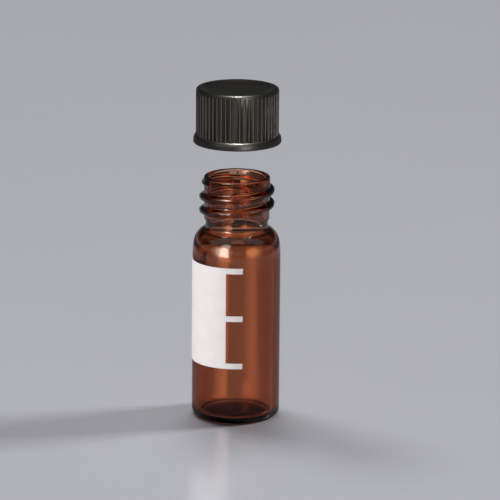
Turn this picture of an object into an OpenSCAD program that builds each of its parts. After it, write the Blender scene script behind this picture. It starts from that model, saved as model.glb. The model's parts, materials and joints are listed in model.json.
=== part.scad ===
// Amber glass sample vial with a screw cap, in millimetres.
// The origin is the centre of the foot, with +Z up the vial's axis and -Y to the front.
// Every piece is modelled with the cap screwed tight. The cap and its liner are then backed off
// along the thread until they stand clear of the rim.

/* [Vial body] */
// Outside diameter of the glass body
body_d = 11.6; // [10.8:0.1:14]
// Height from the foot to the rim
vial_h = 32.5; // [26:0.5:45]
// Thickness of the body wall
wall = 0.85; // [0.6:0.05:1.1]
// Thickness of the glass floor
floor_t = 0.62; // [0.5:0.02:1.5]
// Outside radius between the wall and the foot
heel_r = 0.9; // [0.6:0.1:1.3]
// Inside radius between the wall and the floor
punt_r = 0.8; // [0.6:0.1:1.8]
// Rise of the shallow dome under the foot
push_up = 0.16; // [0.1:0.02:0.6]
// Width of the flat ring that the vial stands on
foot_w = 0.7; // [0.4:0.1:1.2]

/* [Shoulder] */
// Height over which the shoulder curves in
shoulder_h = 3.9; // [3:0.1:4.6]
// Squareness of the shoulder's curve, where 2 is an ellipse
shoulder_power = 2.9; // [2.2:0.1:3.4]
// Diameter, inside the neck, at which the curve would run level
shoulder_d = 5; // [4:0.1:6]
// Radius of the hollow between the shoulder and the neck
throat_r = 0.35; // [0.2:0.05:0.6]

/* [Neck finish] */
// Outside diameter of the neck between the threads
neck_d = 8.68; // [8:0.02:9]
// Thickness of the neck's wall
neck_wall = 0.74; // [0.6:0.02:1.5]
// Rounding of the rim's edges
lip_r = 0.22; // [0.1:0.02:0.3]
// Height of the narrower neck under the thread
relief_h = 1.05; // [0.8:0.05:2]
// How much narrower the neck's radius is there
relief_in = 0.22; // [0.05:0.01:0.3]

/* [Glass thread] */
// Height that one turn of both threads climbs
pitch = 1.81; // [1.7:0.01:2.2]
// How far the thread stands out of the neck
bead_h = 0.64; // [0.4:0.02:0.7]
// Width of the thread at the neck
bead_w = 1.06; // [0.9:0.02:1.2]
// Number of turns
bead_turns = 2.34; // [1.5:0.02:2.5]
// Distance from the rim down to the middle of the thread's upper end
bead_top = 0.81; // [0.7:0.01:1.5]
// Direction of the thread's upper end, seen from above
bead_end = 212; // [0:1:359]
// Turn over which each end of a thread grows to full height
fade = 75; // [40:5:90]

/* [Writing patch] */
// Thickness of the fired white print
patch_t = 0.04; // [0.02:0.01:0.1]
// Height of the patch's lower edge over the foot
patch_z = 7.7; // [5:0.1:9]
// Distance from the patch's upper edge up to the start of the shoulder
patch_gap = 0.52; // [0.1:0.02:4]
// Width of the patch, along the glass
patch_w = 11.4; // [6:0.1:14]
// Direction of the patch's edge that carries the marks, seen from above
patch_edge = 256.8; // [220:0.2:300]
// Length of a graduation mark, along the glass
mark_l = 2.22; // [1:0.02:4]
// Height of a graduation mark
mark_h = 0.76; // [0.3:0.02:1]
// Number of graduation marks
marks = 3; // [2:1:6]

/* [Screw cap] */
// Height from the cap's lower edge to the sealing face of its liner
skirt_h = 5.15; // [4.8:0.05:5.8]
// Thickness of the wall from the bore to the tops of the ribs
skirt_t = 0.4; // [0.4:0.02:0.8]
// Thickness of the top
crown_t = 0.96; // [0.7:0.02:1.5]
// Rounding of the top edge
crown_r = 0.34; // [0.2:0.02:0.4]
// Width of the raised border round the dished top
border_w = 0.8; // [0.6:0.05:1.5]
// Depth of the dish
dish = 0.14; // [0.05:0.01:0.3]
// How far the flange stands out past the ribs
flange_out = 0.33; // [0.2:0.01:0.6]
// Height of the flange
flange_h = 1.1; // [0.7:0.05:1.4]
// Rounding of the flange's lower edge
flange_r = 0.2; // [0.1:0.02:0.3]
// Height of the flange's upright edge
flange_edge = 0.35; // [0.1:0.05:0.4]

/* [Finger grooves] */
// Number of grooves
grooves = 56; // [36:2:72]
// Radius of a groove
groove_r = 0.16; // [0.12:0.01:0.2]
// Depth of a groove
groove_h = 0.12; // [0.06:0.01:0.16]
// Height of the smooth band over the grooves
band_h = 0.5; // [0.4:0.05:1]

/* [Cap thread] */
// How far the thread stands into the bore
ridge_h = 0.46; // [0.3:0.02:0.5]
// Width of the thread at the bore
ridge_w = 0.92; // [0.7:0.02:1]
// Width of the thread's crest
crest_w = 0.3; // [0.2:0.02:0.4]
// Distance from the thread's lower end down to the cap's lower edge
ridge_stop = 0.66; // [0.5:0.02:1.5]

/* [Liner] */
// Thickness of the silicone pad
pad_t = 1.03; // [0.6:0.01:1.4]
// Thickness of the hard sheet that faces the sample
face_t = 0.15; // [0.1:0.01:0.3]
// How far the retaining bead stands in under the liner
retainer_in = 0.14; // [0.05:0.01:0.2]
// Height of the retaining bead
retainer_h = 0.28; // [0.2:0.02:0.4]

/* [Fits] */
// Gap between the glass thread's crest and the cap's bore
bore_gap = 0.06; // [0.05:0.01:0.2]
// Gap, along the axis, between the flanks that pull the cap down
flank_gap = 0.06; // [0.04:0.01:0.15]
// Gap round and over the liner
liner_gap = 0.04; // [0.02:0.01:0.1]
// Gap between the liner's face and the bead that retains it
retainer_gap = 0.02; // [0:0.01:0.1]
// Height of the cap's lower edge over the rim once it is taken off
cap_gap = 4.5; // [1:0.01:12]

/* [Hidden] */
$fn = 96;

amber = [0.42, 0.17, 0.07, 0.8];
enamel = [0.9, 0.87, 0.87];
black = [0.1, 0.095, 0.085];
silicone = [0.86, 0.84, 0.78];
fluoropolymer = [0.95, 0.95, 0.93];

body_r = body_d / 2;
inner_r = body_r - wall;
foot_r = body_r - heel_r;
neck_r = neck_d / 2;
relief_r = neck_r - relief_in;
mouth_r = neck_r - neck_wall;
level_r = shoulder_d / 2;

// Plain wall left between a thread's end and what is next to it
thread_end_gap = 0.1;
bead_low = vial_h - bead_top - bead_turns * pitch;
relief_z = bead_low - bead_w / 2 - thread_end_gap;
neck_z = relief_z - relief_h;
shoulder_z = neck_z - shoulder_h;
patch_h = shoulder_z - patch_gap - patch_z;

bore_r = neck_r + bead_h + bore_gap;
rib_r = bore_r + skirt_t;
liner_r = bore_r - liner_gap;
liner_t = face_t + pad_t;
ceiling_z = vial_h + liner_t + liner_gap;
crown_z = ceiling_z + crown_t;
cap_z = vial_h - skirt_h;

// The flanks come closest about three quarters of the way up the glass thread, where it is
// about three quarters of its full width
closest = 0.75;
bead_half = bead_w / 2 * closest;
ridge_half = (ridge_w + crest_w) / 4;
ridge_drop = bead_half + ridge_half + flank_gap;
ridge_top = retainer_h + ridge_w / 2 + thread_end_gap;
ridge_end = bead_end + (bead_top + ridge_drop - ridge_top) / pitch * 360;
ridge_turns = (skirt_h - ridge_top - ridge_stop - ridge_w / 2) / pitch;

// The cap is lifted by as much as it is unscrewed
lift = skirt_h + cap_gap;
unscrewed = 360 * lift / pitch;

// Turn between two rings of a thread's skin
ring_turn = 6;
// How deep a thread's root and the feet of its flanks go into the wall
root_in = 0.15;
foot_in = 0.03;

// Points on an arc of radius r round [x, y], from angle a to angle b
function arc(x, y, r, a, b, n = 8) =
    [for (i = [0 : n]) let (t = a + (b - a) * i / n) [x + r * cos(t), y + r * sin(t)]];

// The shoulder is a quarter of a superellipse that leaves the wall upright
function shoulder_point(t) = [
    level_r + (body_r - level_r) * pow(cos(t), 2 / shoulder_power),
    shoulder_z + shoulder_h * pow(sin(t), 2 / shoulder_power)
];

// Direction that the shoulder faces at t
function shoulder_facing(t) =
    let (
        power = 2 - 2 / shoulder_power,
        d = [pow(cos(t), power) / (body_r - level_r), pow(sin(t), power) / shoulder_h]
    )
    d / norm(d);

// The shoulder moved out along its facing, or in if d is under 0
function shoulder_offset(t, d) = shoulder_point(t) + d * shoulder_facing(t);

// The t at which the shoulder, moved by d, is at radius r
function shoulder_t(d, r, low = 0, high = 90, n = 30) =
    let (mid = (low + high) / 2)
    n == 0 ? mid
    : shoulder_offset(mid, d)[0] > r ? shoulder_t(d, r, mid, high, n - 1)
    : shoulder_t(d, r, low, mid, n - 1);

// Share of its full height that a thread has, a degrees from one end and b degrees from the other
function grown(a, b) = let (t = min(1, min(a, b) / fade)) t * t * (3 - 2 * t);

// Sections of the threads, as [height, distance along the axis], from the lower foot to the upper
bead_section = [
    for (i = [0 : 10])
        let (t = 18 * i)
        [bead_h * pow(sin(t), 0.8), -bead_w / 2 * cos(t)]
];
ridge_section = [[0, -ridge_w / 2], [ridge_h, -crest_w / 2], [ridge_h, crest_w / 2], [0, ridge_w / 2]];

// A thread on a wall of radius wall_r, which ends at turn end and height top. Side 1 stands out, -1 in.
module thread(wall_r, side, section, turns, end, top) {
    rings = ceil(turns * 360 / ring_turn);
    n = len(section) + 2;
    half = section[len(section) - 1][1];
    ring = concat([[-root_in, -half]], section, [[-root_in, half]]);
    points = [
        for (i = [0 : rings])
            let (
                back = turns * 360 * (1 - i / rings),
                share = grown(back, turns * 360 - back),
                z = top - pitch * back / 360
            )
            for (p = ring)
                let (r = wall_r + side * (p[0] < 0 ? p[0] : p[0] * share - foot_in))
                [r * cos(end - back), r * sin(end - back), z + p[1] * (1 + share) / 2]
    ];
    skin = [
        for (i = [0 : rings - 1], j = [0 : n - 1])
            let (a = i * n, b = a + n, k = (j + 1) % n)
            each [[a + j, b + j, b + k], [a + j, b + k, a + k]]
    ];
    ends = [
        for (j = [1 : n - 2])
            each [[0, j, j + 1], [rings * n, rings * n + j + 1, rings * n + j]]
    ];
    faces = concat(skin, ends);
    polyhedron(points, side < 0 ? faces : [for (f = faces) [f[2], f[1], f[0]]]);
}

// Half section of the glass: under the foot, up the outside, over the rim and down the inside
module glass_section() {
    flat_r = foot_r - foot_w;
    dome_r = (pow(flat_r, 2) + pow(push_up, 2)) / (2 * push_up);
    dome_z = push_up - dome_r;
    floor_r = dome_r + floor_t;
    corner_r = inner_r - punt_r;
    corner_z = dome_z + sqrt(pow(floor_r + punt_r, 2) - pow(corner_r, 2));
    corner_turn = asin(corner_r / (floor_r + punt_r));

    // The throat's hollow touches the shoulder on the outside, and the neck
    throat = shoulder_t(throat_r, relief_r + throat_r);
    hollow = shoulder_offset(throat, throat_r);
    facing = shoulder_facing(throat);
    hollow_from = 180 + atan2(facing[1], facing[0]);
    // The inside follows the outside at the wall's thickness, until it meets the mouth
    inside = shoulder_t(-wall, mouth_r + throat_r);
    inside_z = shoulder_offset(inside, -wall)[1];

    polygon(concat(
        arc(0, dome_z, dome_r, 90, 90 - asin(flat_r / dome_r), 6),
        arc(foot_r, heel_r, heel_r, -90, 0),
        [for (i = [0 : 20]) shoulder_point(throat * i / 20)],
        arc(hollow[0], hollow[1], throat_r, hollow_from, 180, 6),
        [[relief_r, relief_z - relief_in], [neck_r, relief_z]],
        arc(neck_r - lip_r, vial_h - lip_r, lip_r, 0, 90, 6),
        arc(mouth_r + lip_r, vial_h - lip_r, lip_r, 90, 180, 6),
        [[mouth_r, inside_z + throat_r]],
        [for (i = [14 : -1 : 0]) shoulder_offset(inside * i / 14, -wall)],
        arc(corner_r, corner_z, punt_r, 0, -90 - corner_turn, 8),
        arc(0, dome_z, floor_r, 90 - corner_turn, 90, 6)
    ));
}

module glass_vial() {
    color(amber) {
        rotate_extrude() glass_section();
        thread(neck_r, 1, bead_section, bead_turns, bead_end, vial_h - bead_top);
    }
}

// Part of the print: a skin on the glass from turn to turn, and from height z upwards
module print(from, to, z, h) {
    rotate_extrude(angle = to - from, start = from) translate([body_r, z]) square([patch_t, h]);
}

module writing_patch() {
    along = 180 / (PI * body_r);
    under_field = 0.1;
    color(enamel) {
        print(patch_edge - patch_w * along, patch_edge, patch_z, patch_h);
        for (i = [0 : marks - 1])
            print(patch_edge - under_field * along, patch_edge + mark_l * along,
                patch_z + (patch_h - mark_h) * i / max(1, marks - 1), mark_h);
    }
}

// Puts the cap and its liner where they are once the cap has been unscrewed and taken off
module taken_off() {
    translate([0, 0, lift]) rotate(unscrewed) children();
}

module liner_face() {
    color(fluoropolymer) taken_off() translate([0, 0, vial_h]) cylinder(h = face_t, r = liner_r);
}

module liner_pad() {
    color(silicone) taken_off() translate([0, 0, vial_h + face_t]) cylinder(h = pad_t, r = liner_r);
}

// Half section of the cap: up the outside, over the dished top, and down the bore
module cap_section() {
    edge_r = rib_r + flange_out;
    slope_h = flange_h - flange_r - flange_edge;
    flange_z = cap_z + flange_h;
    dish_r = rib_r - border_w;
    dish_slope = 0.5;
    lead_in = 0.15;
    under_liner = vial_h - retainer_gap;
    polygon(concat(
        [[bore_r, cap_z + lead_in], [bore_r + lead_in, cap_z]],
        arc(edge_r - flange_r, cap_z + flange_r, flange_r, -90, 0, 5),
        [for (t = [0 : 15 : 90]) [rib_r + flange_out * cos(t), flange_z - slope_h * (1 - sin(t))]],
        arc(rib_r - crown_r, crown_z - crown_r, crown_r, 0, 90, 6),
        [for (t = [0 : 30 : 180]) [dish_r - dish_slope * t / 180, crown_z - dish * (1 - cos(t)) / 2]],
        [[0, crown_z - dish], [0, ceiling_z], [bore_r, ceiling_z], [bore_r, under_liner]],
        [[bore_r - retainer_in, under_liner - retainer_h / 3], [bore_r, under_liner - retainer_h]]
    ));
}

module screw_cap() {
    color(black) taken_off() {
        difference() {
            rotate_extrude() cap_section();
            for (i = [1 : grooves])
                rotate(360 / grooves * i)
                    translate([rib_r + groove_r - groove_h, 0, cap_z + flange_h])
                        cylinder(h = crown_z - band_h - cap_z - flange_h, r = groove_r);
        }
        thread(bore_r, -1, ridge_section, ridge_turns, ridge_end, vial_h - ridge_top);
    }
}

glass_vial();
writing_patch();
liner_face();
liner_pad();
screw_cap();
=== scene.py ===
import json
import math

import bpy
from mathutils import Euler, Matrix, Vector


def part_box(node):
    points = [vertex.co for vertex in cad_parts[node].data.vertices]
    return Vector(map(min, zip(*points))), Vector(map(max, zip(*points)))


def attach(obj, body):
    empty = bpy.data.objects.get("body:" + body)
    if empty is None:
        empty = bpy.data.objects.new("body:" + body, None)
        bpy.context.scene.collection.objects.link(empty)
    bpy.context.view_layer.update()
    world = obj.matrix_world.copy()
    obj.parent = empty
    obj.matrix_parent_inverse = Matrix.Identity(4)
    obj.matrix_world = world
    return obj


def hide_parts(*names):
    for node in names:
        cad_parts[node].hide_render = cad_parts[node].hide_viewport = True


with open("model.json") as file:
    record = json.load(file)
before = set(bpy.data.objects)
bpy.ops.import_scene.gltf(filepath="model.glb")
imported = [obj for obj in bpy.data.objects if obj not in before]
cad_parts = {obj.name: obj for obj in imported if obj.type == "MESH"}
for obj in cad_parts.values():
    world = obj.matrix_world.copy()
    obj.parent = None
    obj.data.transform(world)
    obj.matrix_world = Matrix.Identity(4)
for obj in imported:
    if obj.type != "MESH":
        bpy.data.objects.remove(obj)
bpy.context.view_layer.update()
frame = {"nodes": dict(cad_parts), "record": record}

# Looks of an amber glass sample vial with a ribbed screw cap held clear of its rim.
# Lengths are in millimetres up to the meshes, which are in metres, in the frame's own axes.
# Angles are in degrees, and those round the vial start at +X.
MM = 0.001
MOUNTS = {mount["name"]: mount["dims"] for mount in frame["record"]["mounts"]}

# Vial body
BODY_R = MOUNTS["body_outside"]["r_mm"]
VIAL_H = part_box("glass_vial")[1].z / MM
WALL = 0.85
FLOOR_T = 0.62
HEEL_R = 0.9
PUNT_R = 0.8  # inside corner between wall and floor
PUSH_UP = 0.16  # rise of the foot's middle
FOOT_W = 0.7  # ring that the vial stands on
# Shoulder, a superellipse that starts level at LEVEL_R, and the throat where it meets the neck
SHOULDER_H = 3.9
SHOULDER_POWER = 2.9
LEVEL_R = 2.5
THROAT_R = 0.35
# Neck, and the relief under its thread
NECK_R = 4.34
MOUTH_R = 3.6
LIP_R = 0.22
RELIEF_H = 1.05
RELIEF_IN = 0.22
RELIEF_GAP = 0.1  # between the thread and the relief
# Thread, a bead of glass that rises to the right
PITCH = 1.81
BEAD_H = 0.61
BEAD_W = 1.06
BEAD_TURNS = 2.34
BEAD_TOP = 0.81  # from the rim down to the middle of its upper end
BEAD_END = 212  # where its upper end lies round the neck
BEAD_FADE = 75  # turn over which each end fades
BEAD_SQUARE = 3.2  # power of its outline
BEAD_REACH = 1.6  # how far that outline is followed, in half widths
ROOT_SOFT = 0.035  # softness of the hollow where it meets the neck
# Writing patch
PATCH_LOW, PATCH_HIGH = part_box("writing_patch")
PATCH_EDGE = 256.8  # where the field ends and its marks start
PATCH_W = 11.4
MARK_L = 2.22
MARK_H = 0.76
MARKS = 3
INK_GAP = 0.004
INK_T = 0.04

# The push-up under the foot is part of a ball
FLAT_R = BODY_R - HEEL_R - FOOT_W
DOME_R = (FLAT_R ** 2 + PUSH_UP ** 2) / (2 * PUSH_UP)
DOME_Z = PUSH_UP - DOME_R
# Heights of the neck's parts, worked down from the rim
BEAD_LOW = VIAL_H - BEAD_TOP - BEAD_TURNS * PITCH
RELIEF_Z = BEAD_LOW - BEAD_W / 2 - RELIEF_GAP
SHOULDER_Z = RELIEF_Z - RELIEF_H - SHOULDER_H
LIP_Z = VIAL_H - LIP_R

# How finely the glass and the ink are made: points round, height of a row, and rows in each stretch
ROUND = 256
THREAD_ROW = 0.036
DOME_ROWS = 8
CORNER_ROWS = 14
WALL_ROWS = 6
SHOULDER_ROWS = 36
THROAT_ROWS = 8
LIP_ROWS = 7
MOUTH_ROWS = 5
INSIDE_ROWS = 24
INK_TURN = 1.5
INK_ROW = 0.6

# Painted light and painted shade on the table, shown only to rays that come through the glass or
# are mirrored, in place of a studio's windows and boards. Each list has places and levels, and the
# level runs straight between them.
# Distances from the vial are followed up to RUN, and those across it to ACROSS_RUN each way.
RUN = 160
ACROSS_RUN = 8
# Painted light on the table behind the vial, shown only through the glass, in place of light that
# the vial would throw there: bands across the vial, which meet FAN in front of its axis, and how
# far behind it they end
FAN = 45
PAINTED_LIGHT_BANDS = [(-3.6, 0.0), (-2.9, 0.25), (-2.2, 0.5), (-1.5, 0.6), (-1.2, 0.3), (-1.0, 0.0), (0.6, 0.02),
         (1.1, 0.1), (1.6, 0.3), (2.1, 0.4), (2.7, 0.42), (3.2, 0.2), (3.8, 0.05), (4.6, 0.0)]
PAINTED_LIGHT_BAND_ENDS = [(90, 1), (99, 0)]
# The table mirrored, by distance from the vial, with painted shade that darkens it in reflections
MIRRORED = [(85, 0.45), (98, 0.95), (124, 0.95), (136, 0.1)]
# Painted shade of the table through the glass, by distance behind the vial, and past ACROSS_FROM
# also across it
THROUGH = [(94, 1.0), (102, 0.35), (117, 0.35), (125, 1.0)]
ACROSS_FROM = 102
ACROSS = [(-5.0, 0.2), (-3.4, 0.35), (-2.6, 1.0), (2.8, 1.0), (3.6, 0.35), (5.0, 0.2)]
# A painted glow on the table in front, on the left, like a bright card, that shows through the
# neck: its sides, as sideways by forward distance up to SLANT_RUN, and its ends, by distance from
# the vial
SLANT_RUN = 2
PAINTED_GLOW_SIDES = [(-1.6, 0.0), (-0.9, 0.6), (-0.27, 1.0), (-0.22, 0.0)]
PAINTED_GLOW_ENDS = [(90, 0.0), (96, 1.0), (145, 1.0), (155, 0.0)]
# Strength of that painted glow
PAINTED_GLOW_STRENGTH = 9

# Camera, lamps and room
SENSOR = 36
LENS = 281.95
CAMERA_AT = (1.78, -500, 151.9)
CAMERA_DOWN = 14.52
CAMERA_ROLL = 0.47
CLIP = (0.01, 40)  # metres
FLOOR_HALF = 12000
LAMP_AWAY = 12000
CARD_LIFT = 0.5  # of a lamp that lies on the table
WHITE = (1, 1, 1)
CREAM = (1, 0.95, 0.82)
PEACH = (1, 0.92, 0.85)
DEEP_PEACH = (1, 0.78, 0.62)
APRICOT = (1, 0.75, 0.6)
ORANGE = (1, 0.45, 0.15)
WALL_TOP = (0.05, 0.11)  # sines of the elevations between which the pale wall ends
WALL_COLOUR = (0.43, 0.43, 0.46, 1)
ROOM_COLOUR = (0.03, 0.03, 0.033, 1)


# Geometry helpers

def arc(x, y, r, start, end, n):
    """Points on an arc, in n steps between two angles."""
    angles = (math.radians(start + (end - start) * i / n) for i in range(n + 1))
    return [(x + r * math.cos(a), y + r * math.sin(a)) for a in angles]


def upright(r, start, end, n):
    """Points up or down a straight wall in n steps, without its two ends."""
    return [(r, start + (end - start) * i / n) for i in range(1, n)]


def around(r, turn, z):
    """The point at a radius, a turn round the vial and a height."""
    a = math.radians(turn)
    return r * math.cos(a), r * math.sin(a), z


def shoulder(t, offset=0.0):
    """A point of the shoulder's superellipse, t degrees round it, moved out by offset."""
    c, s = math.cos(math.radians(t)), math.sin(math.radians(t))
    x = LEVEL_R + (BODY_R - LEVEL_R) * max(c, 0) ** (2 / SHOULDER_POWER)
    z = SHOULDER_Z + SHOULDER_H * s ** (2 / SHOULDER_POWER)
    facing = shoulder_facing(t)
    return x + offset * facing[0], z + offset * facing[1]


def shoulder_facing(t):
    """The direction that the shoulder faces there."""
    c, s = math.cos(math.radians(t)), math.sin(math.radians(t))
    power = 2 - 2 / SHOULDER_POWER
    x, z = max(c, 0) ** power / (BODY_R - LEVEL_R), s ** power / SHOULDER_H
    return x / math.hypot(x, z), z / math.hypot(x, z)


def shoulder_turn(offset, r):
    """The t at which the shoulder, moved out by offset, is at radius r."""
    low, high = 0.0, 90.0
    for _ in range(40):
        mid = (low + high) / 2
        low, high = (mid, high) if shoulder(mid, offset)[0] > r else (low, mid)
    return low


def thread_height(phi, z):
    """How far the glass thread stands out of the neck, phi degrees round it and at height z."""
    total = BEAD_TURNS * 360
    best = -1.0
    back = (BEAD_END - phi) % 360
    while back <= total:
        t = min(1.0, min(back, total - back) / BEAD_FADE)
        share = t * t * (3 - 2 * t)
        half = BEAD_W / 2 * (1 + share) / 2
        s = abs(z - (VIAL_H - BEAD_TOP - PITCH * back / 360)) / half
        best = max(best, BEAD_H * share * (1 - min(s, BEAD_REACH) ** BEAD_SQUARE))
        back += 360
    # The bead meets the wall in a soft hollow
    return (best + math.sqrt(best * best + 4 * ROOT_SOFT ** 2)) / 2 if best > -1 else 0.0


def outer_rows():
    """The glass's outside as (radius, height), from under the foot up to the neck."""
    relief_r = NECK_R - RELIEF_IN
    top = shoulder_turn(THROAT_R, relief_r + THROAT_R)
    throat_r, throat_z = shoulder(top, THROAT_R)
    facing = shoulder_facing(top)
    throat_start = 180 + math.degrees(math.atan2(facing[1], facing[0]))
    rows = arc(0, DOME_Z, DOME_R, 90, 90 - math.degrees(math.asin(FLAT_R / DOME_R)), DOME_ROWS)
    rows += arc(BODY_R - HEEL_R, HEEL_R, HEEL_R, -90, 0, CORNER_ROWS)
    rows += upright(BODY_R, HEEL_R, SHOULDER_Z, WALL_ROWS)
    rows += [shoulder(top * i / SHOULDER_ROWS) for i in range(SHOULDER_ROWS + 1)]
    rows += arc(throat_r, throat_z, THROAT_R, throat_start, 180, THROAT_ROWS)[1:]
    return rows


def neck_rows():
    """The neck's outside as (radius, height), without the thread that stands on it."""
    low = RELIEF_Z - RELIEF_IN
    steps = round((LIP_Z - low) / THREAD_ROW)
    heights = (low + (LIP_Z - low) * i / steps for i in range(steps + 1))
    return [(NECK_R - max(0.0, min(RELIEF_IN, RELIEF_Z - z)), z) for z in heights]


def inner_rows():
    """The rim and the glass's inside as (radius, height), down to the floor's middle."""
    inner_r = BODY_R - WALL
    floor_r = DOME_R + FLOOR_T
    corner_r = inner_r - PUNT_R
    corner_z = DOME_Z + math.sqrt((floor_r + PUNT_R) ** 2 - corner_r ** 2)
    corner_turn = math.degrees(math.asin(corner_r / (floor_r + PUNT_R)))
    top = shoulder_turn(-WALL, MOUTH_R + THROAT_R)
    mouth_low = shoulder(top, -WALL)[1] + THROAT_R
    rows = arc(NECK_R - LIP_R, LIP_Z, LIP_R, 0, 90, LIP_ROWS)[1:]
    rows += arc(MOUTH_R + LIP_R, LIP_Z, LIP_R, 90, 180, LIP_ROWS)
    rows += upright(MOUTH_R, LIP_Z, mouth_low, MOUTH_ROWS) + [(MOUTH_R, mouth_low)]
    rows += [shoulder(top * i / INSIDE_ROWS, -WALL) for i in range(INSIDE_ROWS, -1, -1)]
    rows += upright(inner_r, SHOULDER_Z, corner_z, WALL_ROWS)
    rows += arc(corner_r, corner_z, PUNT_R, 0, -90 - corner_turn, CORNER_ROWS)
    rows += arc(0, DOME_Z, floor_r, 90 - corner_turn, 90, DOME_ROWS)[1:]
    return rows


def add_object(name, data):
    """A new object in the scene."""
    made = bpy.data.objects.new(name, data)
    bpy.context.scene.collection.objects.link(made)
    return made


def add_mesh(name, points, faces, finish, smooth=True):
    """A new mesh object. points are in millimetres."""
    mesh = bpy.data.meshes.new(name)
    mesh.from_pydata([(x * MM, y * MM, z * MM) for x, y, z in points], [], faces)
    mesh.materials.append(finish)
    mesh.polygons.foreach_set("use_smooth", [smooth] * len(mesh.polygons))
    mesh.update()
    return add_object(name, mesh)


def revolve(rows):
    """A closed skin round the axis. Its rows are (radius, height, threaded), from axis to axis."""
    points, faces = [(0, 0, rows[0][1])], []
    middle = rows[1:-1]
    for r, z, threaded in middle:
        for k in range(ROUND):
            turn = 360 * k / ROUND
            out = thread_height(turn, z) if threaded else 0
            points.append(around(r + out, turn, z))
    points.append((0, 0, rows[-1][1]))
    last = len(points) - 1
    for k in range(ROUND):
        n = (k + 1) % ROUND
        faces.append((0, 1 + n, 1 + k))
        faces.append((last, last - ROUND + k, last - ROUND + n))
        for i in range(len(middle) - 1):
            a = 1 + i * ROUND
            faces.append((a + k, a + n, a + ROUND + n, a + ROUND + k))
    return points, faces


# Materials

def new_material(name):
    """A new material, with its node tree and its Principled shader."""
    mat = bpy.data.materials.new(name)
    mat.use_nodes = True
    return mat, mat.node_tree, mat.node_tree.nodes["Principled BSDF"]


def node(tree, kind, **values):
    """A new node. Values that start with in_ are inputs by name, and the others properties."""
    made = tree.nodes.new("ShaderNode" + kind)
    for key, value in values.items():
        if key.startswith("in_"):
            made.inputs[key[3:].replace("_", " ")].default_value = value
        else:
            setattr(made, key, value)
    return made


def noise(tree, scale, detail=2.0, rough=0.5, stretch=(1, 1, 1)):
    """A noise over the object's own millimetres, as a factor socket."""
    place = node(tree, "TexCoord")
    size = node(tree, "Mapping", in_Scale=[s / MM for s in stretch])
    made = node(tree, "TexNoise", in_Scale=scale, in_Detail=detail, in_Roughness=rough)
    tree.links.new(place.outputs["Object"], size.inputs["Vector"])
    tree.links.new(size.outputs["Vector"], made.inputs["Vector"])
    return made.outputs["Fac"]


def math_node(tree, operation, a, b):
    """The result of a sum on two sockets or numbers."""
    made = node(tree, "Math", operation=operation)
    for i, value in enumerate((a, b)):
        if isinstance(value, (int, float)):
            made.inputs[i].default_value = value
        else:
            tree.links.new(value, made.inputs[i])
    return made.outputs["Value"]


def product(tree, first, *others):
    """Several sockets or numbers multiplied."""
    for other in others:
        first = math_node(tree, "MULTIPLY", first, other)
    return first


def rest_of(tree, share):
    """What a share leaves of one."""
    return math_node(tree, "SUBTRACT", 1, share)


def between(tree, factor, low, high):
    """A number that runs from low to high with a factor."""
    made = node(tree, "MapRange", in_To_Min=low, in_To_Max=high)
    tree.links.new(factor, made.inputs["Value"])
    return made.outputs["Result"]


def curve(tree, value, low, high, levels, unit=1.0):
    """A level that follows a value over places from low to high. levels are (place, level).

    unit is the size of one of the places in the value's own terms.
    """
    spread = node(tree, "MapRange", in_From_Min=low * unit, in_From_Max=high * unit)
    tree.links.new(value, spread.inputs["Value"])
    ramp = node(tree, "ValToRGB")
    elements = ramp.color_ramp.elements
    elements.remove(elements[1])
    for i, (place, level) in enumerate(levels):
        position = (place - low) / (high - low)
        element = elements.new(position) if i else elements[0]
        element.position = position
        element.color = (level, level, level, 1)
    tree.links.new(spread.outputs["Result"], ramp.inputs["Fac"])
    return ramp.outputs["Color"]


def two_tone(tree, factor, dark, light):
    """A colour that runs from dark to light over the middle of a factor."""
    made = node(tree, "ValToRGB")
    for element, position, colour in zip(made.color_ramp.elements, (0.3, 0.7), (dark, light)):
        element.position = position
        element.color = (*colour, 1)
    tree.links.new(factor, made.inputs["Fac"])
    return made.outputs["Color"]


def bump(tree, shader, height, depth):
    """Roughens a shader's surface by a height from 0 to 1, depth millimetres deep."""
    made = node(tree, "Bump", in_Strength=1, in_Distance=depth * MM)
    tree.links.new(height, made.inputs["Height"])
    tree.links.new(made.outputs["Normal"], shader.inputs["Normal"])


def amber_glass():
    """Clear brown glass that darkens with its thickness, uneven from being drawn and flamed."""
    mat, tree, shader = new_material("amber_glass")
    shader.inputs["Base Color"].default_value = (1, 1, 1, 1)
    shader.inputs["Transmission Weight"].default_value = 1
    shader.inputs["IOR"].default_value = 1.52
    smear = noise(tree, 0.35, stretch=(1, 1, 0.3))
    tree.links.new(between(tree, smear, 0.0, 0.008), shader.inputs["Roughness"])
    waves = noise(tree, 0.25, detail=1, rough=0.4, stretch=(1, 1, 0.25))
    bump(tree, shader, waves, 0.006)
    tint = node(tree, "VolumeAbsorption", in_Density=2700, in_Color=(0.785, 0.5, 0.285, 1))
    tree.links.new(tint.outputs["Volume"], tree.nodes["Material Output"].inputs["Volume"])
    return mat


def white_enamel():
    """Matt white ceramic ink, fired on, with the fine tooth of a screen print."""
    mat, tree, shader = new_material("white_enamel")
    cloud = noise(tree, 0.6, detail=4, rough=0.6)
    colour = two_tone(tree, cloud, (0.79, 0.73, 0.72), (0.84, 0.78, 0.77))
    tree.links.new(colour, shader.inputs["Base Color"])
    tree.links.new(between(tree, noise(tree, 9), 0.55, 0.75), shader.inputs["Roughness"])
    bump(tree, shader, noise(tree, 14, detail=3, rough=0.6), 0.006)
    return mat


def black_plastic():
    """Satin black moulded plastic, with the faint unevenness of its mould."""
    mat, tree, shader = new_material("black_plastic")
    cloud = noise(tree, 1.2, detail=4, rough=0.6)
    colour = two_tone(tree, cloud, (0.007, 0.0058, 0.0038), (0.010, 0.0085, 0.006))
    tree.links.new(colour, shader.inputs["Base Color"])
    tree.links.new(between(tree, noise(tree, 3, detail=3), 0.32, 0.42), shader.inputs["Roughness"])
    bump(tree, shader, noise(tree, 12, detail=3, rough=0.6), 0.0004)
    return mat


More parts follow.
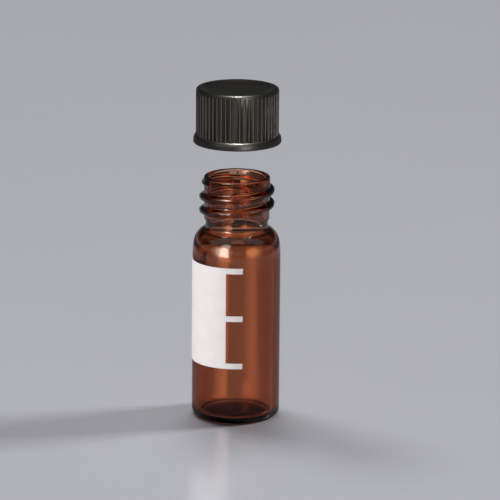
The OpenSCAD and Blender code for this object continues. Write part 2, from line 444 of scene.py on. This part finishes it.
def silicone():
    """Soft translucent silicone, cut from sheet."""
    mat, tree, shader = new_material("silicone")
    cloud = noise(tree, 1.5, detail=3)
    colour = two_tone(tree, cloud, (0.62, 0.58, 0.50), (0.70, 0.66, 0.58))
    tree.links.new(colour, shader.inputs["Base Color"])
    tree.links.new(between(tree, noise(tree, 6), 0.42, 0.58), shader.inputs["Roughness"])
    bump(tree, shader, noise(tree, 10), 0.008)
    return mat


def liner_sheet():
    """Smooth white fluoropolymer sheet, with the faint lines of its skiving."""
    mat, tree, shader = new_material("liner_sheet")
    lines = noise(tree, 1.2, detail=3, stretch=(12, 0.6, 1))
    colour = two_tone(tree, lines, (0.80, 0.80, 0.77), (0.87, 0.87, 0.85))
    tree.links.new(colour, shader.inputs["Base Color"])
    tree.links.new(between(tree, lines, 0.3, 0.42), shader.inputs["Roughness"])
    bump(tree, shader, lines, 0.004)
    return mat


def table_shade(tree, x, y, away, behind, mirrored):
    """Painted shade: how much darker than it is the table looks through the glass, or mirrored."""
    painted_mirror_shade = curve(tree, away, 0, RUN, [(r, 1 - level) for r, level in MIRRORED], MM)
    beyond = math_node(tree, "GREATER_THAN", y, ACROSS_FROM * MM)
    sides = product(tree, curve(tree, x, -ACROSS_RUN, ACROSS_RUN, ACROSS, MM), beyond)
    sides = math_node(tree, "ADD", sides, rest_of(tree, beyond))
    shown = product(tree, curve(tree, y, 0, RUN, THROUGH, MM), sides)
    mirrored_painted_shade = product(tree, mirrored, painted_mirror_shade)
    return math_node(tree, "ADD", mirrored_painted_shade, product(tree, behind, rest_of(tree, shown)))


def table_glow(tree, x, y, away, behind, through):
    """Painted glow on the table, shown only through the glass: the bands behind the vial, and the
    patch like a bright card in front.
    """
    slope = math_node(tree, "DIVIDE", x, math_node(tree, "ADD", y, FAN * MM))
    bands = curve(tree, slope, -BODY_R, BODY_R, PAINTED_LIGHT_BANDS, 1 / FAN)
    bands = product(tree, bands, curve(tree, y, 0, RUN, PAINTED_LIGHT_BAND_ENDS, MM), behind)
    slant = product(tree, math_node(tree, "DIVIDE", x, y), -1)
    sides = curve(tree, slant, -SLANT_RUN, SLANT_RUN, PAINTED_GLOW_SIDES)
    ends = curve(tree, away, 0, RUN, PAINTED_GLOW_ENDS, MM)
    # Painted glow in front of the vial, like a bright card, only through the glass
    in_front = product(tree, math_node(tree, "LESS_THAN", y, 0), through)
    return math_node(tree, "ADD", bands, product(tree, sides, ends, in_front, PAINTED_GLOW_STRENGTH))


def floor_with_painted_light():
    """A plain pale table, smooth enough to mirror a little. Through the glass it shows painted
    shade and a painted glow, and mirrored it shows painted shade.
    """
    mat, tree, shader = new_material("floor_with_painted_light")
    rays = node(tree, "LightPath").outputs
    place = node(tree, "TexCoord").outputs["Object"]
    split = node(tree, "SeparateXYZ")
    reach = node(tree, "VectorMath", operation="LENGTH")
    tree.links.new(place, split.inputs["Vector"])
    tree.links.new(place, reach.inputs["Vector"])
    x, y, away = split.outputs["X"], split.outputs["Y"], reach.outputs["Value"]
    # Rays that see painted light or painted shade on the table: through the glass, behind the vial,
    # and mirrored
    through = rays["Is Transmission Ray"]
    behind = product(tree, through, math_node(tree, "GREATER_THAN", y, BODY_R * MM))
    mirrored = product(tree, rays["Is Glossy Ray"], rays["Is Reflection Ray"])

    colour = two_tone(tree, noise(tree, 0.01), (0.56, 0.565, 0.61), (0.57, 0.575, 0.62))
    shade = table_shade(tree, x, y, away, behind, mirrored)
    seen_as = node(tree, "HueSaturation")
    tree.links.new(rest_of(tree, shade), seen_as.inputs["Value"])
    tree.links.new(colour, seen_as.inputs["Color"])
    tree.links.new(seen_as.outputs["Color"], shader.inputs["Base Color"])
    shader.inputs["Roughness"].default_value = 0.2
    shader.inputs["Emission Color"].default_value = (1, 1, 1, 1)
    # Painted glow: the table emits only to rays that come through the glass
    glow = table_glow(tree, x, y, away, behind, through)
    tree.links.new(glow, shader.inputs["Emission Strength"])
    return mat


# Pieces

def make_vial():
    """The glass, as one closed skin inside and out, with its thread."""
    rows = [(r, z, False) for r, z in outer_rows()]
    rows += [(r, z, True) for r, z in neck_rows()]
    rows += [(r, z, False) for r, z in inner_rows()]
    points, faces = revolve(rows)
    piece = add_mesh("vial_glass", points, faces, amber_glass())
    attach(piece, "vial")
    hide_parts("glass_vial")


def print_skin(start, end, low, high, points, faces):
    """Adds a curved slab of ink, from turn start to turn end and from height low to high."""
    columns = max(2, round((end - start) / INK_TURN))
    rows = max(2, round((high - low) / INK_ROW))
    first = len(points)
    for radius in (BODY_R + INK_GAP, BODY_R + INK_T):
        for j in range(rows + 1):
            for i in range(columns + 1):
                turn = start + (end - start) * i / columns
                points.append(around(radius, turn, low + (high - low) * j / rows))
    wide, layer = columns + 1, (columns + 1) * (rows + 1)
    for j in range(rows):
        for i in range(columns):
            a = first + j * wide + i
            b = a + layer
            faces.append((a, a + wide, a + wide + 1, a + 1))
            faces.append((b, b + 1, b + wide + 1, b + wide))
    rim = [first + i for i in range(wide)]
    rim += [first + j * wide + columns for j in range(1, rows + 1)]
    rim += [first + rows * wide + i for i in range(columns - 1, -1, -1)]
    rim += [first + j * wide for j in range(rows - 1, 0, -1)]
    for a, b in zip(rim, rim[1:] + rim[:1]):
        faces.append((a, b, b + layer, a + layer))


def make_patch():
    """The printed field with its three graduation marks."""
    along = 180 / (math.pi * BODY_R)
    low, high = PATCH_LOW.z / MM, PATCH_HIGH.z / MM
    points, faces = [], []
    print_skin(PATCH_EDGE - PATCH_W * along, PATCH_EDGE, low, high, points, faces)
    for i in range(MARKS):
        z = low + (high - low - MARK_H) * i / (MARKS - 1)
        print_skin(PATCH_EDGE, PATCH_EDGE + MARK_L * along, z, z + MARK_H, points, faces)
    piece = add_mesh("patch_print", points, faces, white_enamel(), smooth=False)
    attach(piece, "vial")
    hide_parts("writing_patch")


def dress(name, finish):
    """Gives a CAD node its finish."""
    mesh = frame["nodes"][name].data
    mesh.materials.clear()
    mesh.materials.append(finish)


# Stage

def make_floor():
    """The table that the vial stands on."""
    half = FLOOR_HALF
    corners = [(-half, -half, 0), (half, -half, 0), (half, half, 0), (-half, half, 0)]
    add_mesh("floor", corners, [(0, 1, 2, 3)], floor_with_painted_light(), smooth=False)


def put(thing, location, turned):
    """Places a camera or a lamp. location is in millimetres, and turned is a quaternion."""
    thing.location = Vector(location) * MM
    thing.rotation_mode = "QUATERNION"
    thing.rotation_quaternion = turned


def make_camera():
    """The photographer's camera: half a metre in front, looking down a little by a long lens."""
    lens = bpy.data.cameras.new("camera")
    lens.sensor_width = SENSOR
    lens.lens = LENS
    lens.clip_start, lens.clip_end = CLIP
    camera = add_object("camera", lens)
    tilt = Euler((math.radians(90 - CAMERA_DOWN), 0, 0)).to_quaternion()
    put(camera, CAMERA_AT, tilt @ Euler((0, 0, math.radians(CAMERA_ROLL))).to_quaternion())
    bpy.context.scene.camera = camera


def area_lamp(name, shape, wide, tall, brightness, colour, location, turned):
    """A flat lamp that the camera doesn't see, with its brightness the same at any size."""
    data = bpy.data.lights.new(name, "AREA")
    data.shape = shape
    data.color = colour
    data.size, data.size_y = wide * MM, tall * MM
    data.energy = brightness * math.pi * data.size * data.size_y
    lamp = add_object(name, data)
    put(lamp, location, turned)
    lamp.visible_camera = False
    return lamp


def softbox(name, azimuth, elevation, wide, tall, brightness, shape="RECTANGLE", colour=WHITE):
    """A far lamp that faces the vial. Its place and size are angles as the vial sees them.

    azimuth runs from the camera to the right.
    """
    a, e = math.radians(azimuth), math.radians(elevation)
    away = Vector((math.sin(a) * math.cos(e), -math.cos(a) * math.cos(e), math.sin(e)))
    sizes = [2 * LAMP_AWAY * math.tan(math.radians(angle / 2)) for angle in (wide, tall)]
    facing = away.to_track_quat("Z", "Y")
    return area_lamp(name, shape, *sizes, brightness, colour, away * LAMP_AWAY, facing)


def card(name, azimuth, distance, wide, long, brightness, colour=WHITE):
    """A bright card that lies on the table, facing up. Lengths are in millimetres."""
    a = math.radians(azimuth)
    location = (distance * math.sin(a), -distance * math.cos(a), CARD_LIFT)
    facing = Euler((math.pi, 0, a)).to_quaternion()
    return area_lamp(name, "RECTANGLE", wide, long, brightness, colour, location, facing)


def link_group(name, things, state):
    """A collection for light linking, with one state for all its things."""
    group = bpy.data.collections.new(name)
    for thing in things:
        group.objects.link(thing)
    for item in group.collection_objects:
        item.light_linking.link_state = state
    return group


def light_only(lamps, pieces, state="INCLUDE"):
    """Limits lamps to some pieces, or keeps them off these."""
    for lamp in lamps:
        lamp.light_linking.receiver_collection = link_group(lamp.name + "_pieces", pieces, state)


def past_table(lamp):
    """Lets a low lamp shine past the table, as if the table were small."""
    table = [bpy.data.objects["floor"]]
    lamp.light_linking.blocker_collection = link_group(lamp.name + "_blockers", table, "EXCLUDE")


def light_table():
    """Lamps for the table, the print and the liner, without the glass and the cap.

    The first one shows in no gloss, so that the table has no bright spot.
    """
    lamps = [
        softbox("lamp_top", 180, 73, 16, 16, 15),
        softbox("lamp_side", 108, 34, 12, 12, 42),
        softbox("lamp_left", -138, 58, 16, 16, 12),
    ]
    lamps[0].visible_glossy = False
    light_only(lamps, [bpy.data.objects["vial_glass"], frame["nodes"]["screw_cap"]], "EXCLUDE")


def light_patch():
    """Lamps for the print."""
    lamps = [
        softbox("lamp_key", -50, 42, 24, 24, 9),
        softbox("softbox_outer", -48, 12, 28, 24, 7, "ELLIPSE"),
    ]
    light_only(lamps, [bpy.data.objects["patch_print"]])


def light_glass():
    """Lamps that show on the glass's shoulder, thread and lip. The low ones pass the table."""
    low_lamps = [
        softbox("softbox_inner", -32.5, 4, 24, 25, 12, "RECTANGLE", PEACH),
        softbox("softbox_haze", -40, 4.5, 36, 27, 3.4, "ELLIPSE", DEEP_PEACH),
        softbox("softbox_haze_wide", -40, 4.5, 60, 34, 1.2, "ELLIPSE", APRICOT),
        softbox("softbox_warm", 48, 3, 44, 28, 1.6, "RECTANGLE", ORANGE),
        softbox("softbox_warm_core", 44, 3, 34, 22, 2.2, "ELLIPSE", ORANGE),
    ]
    high_lamps = [
        softbox("softbox_over", 0, 66, 130, 44, 0.5),
        softbox("softbox_high", -30, 26, 24, 24, 3, "ELLIPSE"),
        softbox("strip_over", 180, 80, 44, 20, 8),
    ]
    for lamp in low_lamps:
        past_table(lamp)
    light_only(low_lamps + high_lamps, [bpy.data.objects["vial_glass"]])


def light_cap():
    """Slightly warm lamps for the cap. The last one is seen only in its gloss."""
    lamps = [
        softbox("softbox_cap", 24, 5, 16, 10, 8, colour=CREAM),
        card("card_cap", 21, 180, 60, 80, 26, colour=CREAM),
        softbox("cap_fill", -12, 10, 100, 20, 2.2, colour=CREAM),
        softbox("cap_spot", 2, 66, 12, 30, 130, colour=CREAM),
    ]
    lamps[-1].visible_diffuse = False
    light_only(lamps, [frame["nodes"]["screw_cap"]])


def make_room():
    """A pale wall low down all round, with a dark room over it."""
    world = bpy.data.worlds.new("world")
    bpy.context.scene.world = world
    world.use_nodes = True
    tree = world.node_tree
    place = node(tree, "TexCoord")
    split = node(tree, "SeparateXYZ")
    ramp = node(tree, "ValToRGB")
    colours = (WALL_COLOUR, ROOM_COLOUR)
    for element, position, colour in zip(ramp.color_ramp.elements, WALL_TOP, colours):
        element.position = position
        element.color = colour
    tree.links.new(place.outputs["Generated"], split.inputs["Vector"])
    tree.links.new(split.outputs["Z"], ramp.inputs["Fac"])
    tree.links.new(ramp.outputs["Color"], tree.nodes["Background"].inputs["Color"])


def set_look():
    """Plain colours, and enough bounces for light to cross the glass's walls."""
    scene = bpy.context.scene
    scene.view_settings.view_transform = "Standard"
    scene.cycles.use_denoising = True
    scene.cycles.max_bounces = 24
    scene.cycles.transmission_bounces = 20
    scene.cycles.glossy_bounces = 8


make_camera()
make_floor()
set_look()
make_vial()
make_patch()
light_table()
light_patch()
light_glass()
light_cap()
make_room()
dress("screw_cap", black_plastic())
dress("liner_pad", silicone())
dress("liner_face", liner_sheet())
